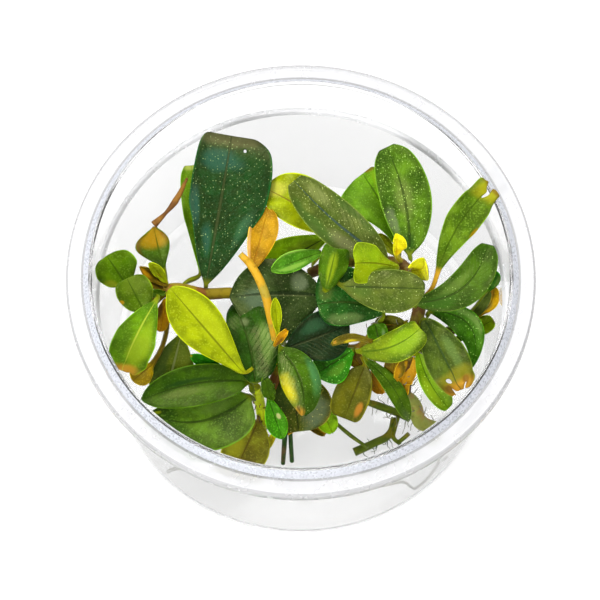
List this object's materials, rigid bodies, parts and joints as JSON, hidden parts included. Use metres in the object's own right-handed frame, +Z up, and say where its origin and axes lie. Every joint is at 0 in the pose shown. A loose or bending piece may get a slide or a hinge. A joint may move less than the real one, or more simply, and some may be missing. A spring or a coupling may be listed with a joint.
{
  "type": "bucephalandra",
  "caption": "Bunch of glossy aquarium plant leaves on creeping rhizomes with roots, standing in a clear round plastic culture cup with its lid off.",
  "frame": {"origin": "middle of the cup's underside", "axes": "+Z up through the cup's mouth, +X to the right and -Y towards the viewer of the picture"},
  "size_m": [0.1, 0.1, 0.0536],
  "materials": {
    "clear_plastic": "clear, glossy, faintly hazy",
    "leaf_blue_green": "glossy blue-green leaf, lightly speckled",
    "leaf_dark_green": "glossy dark green leaf",
    "leaf_green": "satin mid-green leaf",
    "leaf_grey_green": "satin grey-green leaf, speckled",
    "leaf_olive": "ageing olive leaf",
    "leaf_lime": "translucent lime leaf",
    "leaf_yellow": "yellow young or dying leaf",
    "leaf_orange": "dying orange leaf",
    "leaf_brown": "dead brown leaf",
    "rhizome_olive": "matt olive rhizome",
    "rhizome_brown": "rough brown rhizome",
    "stalk_lime": "fresh lime stalk",
    "stalk_orange": "ageing yellow-orange stalk",
    "stem_green": "green stem"
  },
  "bodies": {
    "root": {"cup": "clear_plastic", "leaf_speckled_tall": "leaf_blue_green", "leaf_grey_behind": "leaf_blue_green", "leaf_blue_glossy": "leaf_blue_green", "leaf_teal": "leaf_blue_green", "leaf_grey_hanging": "leaf_blue_green", "leaf_double_upper": "leaf_dark_green", "leaf_double_lower": "leaf_dark_green", "leaf_dark_sliver": "leaf_dark_green", "leaf_green_white_dot": "leaf_dark_green", "leaf_olive_back": "leaf_dark_green", "leaf_dark_broad": "leaf_dark_green", "leaf_teal_point": "leaf_dark_green", "leaf_speckled_right": "leaf_dark_green", "leaf_broad_right": "leaf_dark_green", "leaf_tailed": "leaf_dark_green", "leaf_round_right": "leaf_dark_green", "leaf_dark_right": "leaf_dark_green", "leaf_tan_tip": "leaf_dark_green", "leaf_narrow_dark": "leaf_dark_green", "leaf_round_left": "leaf_green", "leaf_olive_left": "leaf_green", "leaf_folded_behind": "leaf_green", "leaf_green_glossy": "leaf_green", "leaf_burnt_tip": "leaf_green", "leaf_green_small": "leaf_green", "leaf_green_triangle": "leaf_green", "leaf_light_behind": "leaf_green", "leaf_torn_tip": "leaf_green", "leaf_light_under": "leaf_green", "leaf_speckled_middle": "leaf_grey_green", "leaf_grey_green": "leaf_grey_green", "leaf_brown_small": "leaf_olive", "leaf_diamond": "leaf_olive", "leaf_olive_patched": "leaf_olive", "leaf_olive_sliver": "leaf_olive", "leaf_lime_hanging": "leaf_lime", "leaf_lime_front": "leaf_lime", "leaf_lime_back": "leaf_lime", "leaf_lime_curled": "leaf_lime", "leaf_lime_folded": "leaf_lime", "leaf_green_low": "leaf_lime", "leaf_lime_right": "leaf_lime", "leaf_yellow_small": "leaf_yellow", "leaf_yellow_cup": "leaf_yellow", "leaf_yellow_torn": "leaf_yellow", "leaf_orange": "leaf_orange", "leaf_brown_membrane": "leaf_brown", "leaf_brown_right": "leaf_brown", "rhizome_left": "rhizome_olive", "rhizome_centre": "rhizome_olive", "root_rooty": "rhizome_olive", "rhizome_right": "rhizome_brown", "thread_dried": "rhizome_brown", "stem_twin": "rhizome_brown", "stalk_front": "stalk_lime", "stem_green_cut": "stalk_lime", "stalk_old_yellow": "stalk_orange", "stem_green_long": "stem_green", "stem_thin": "stem_green"}
  },
  "joints": []
}
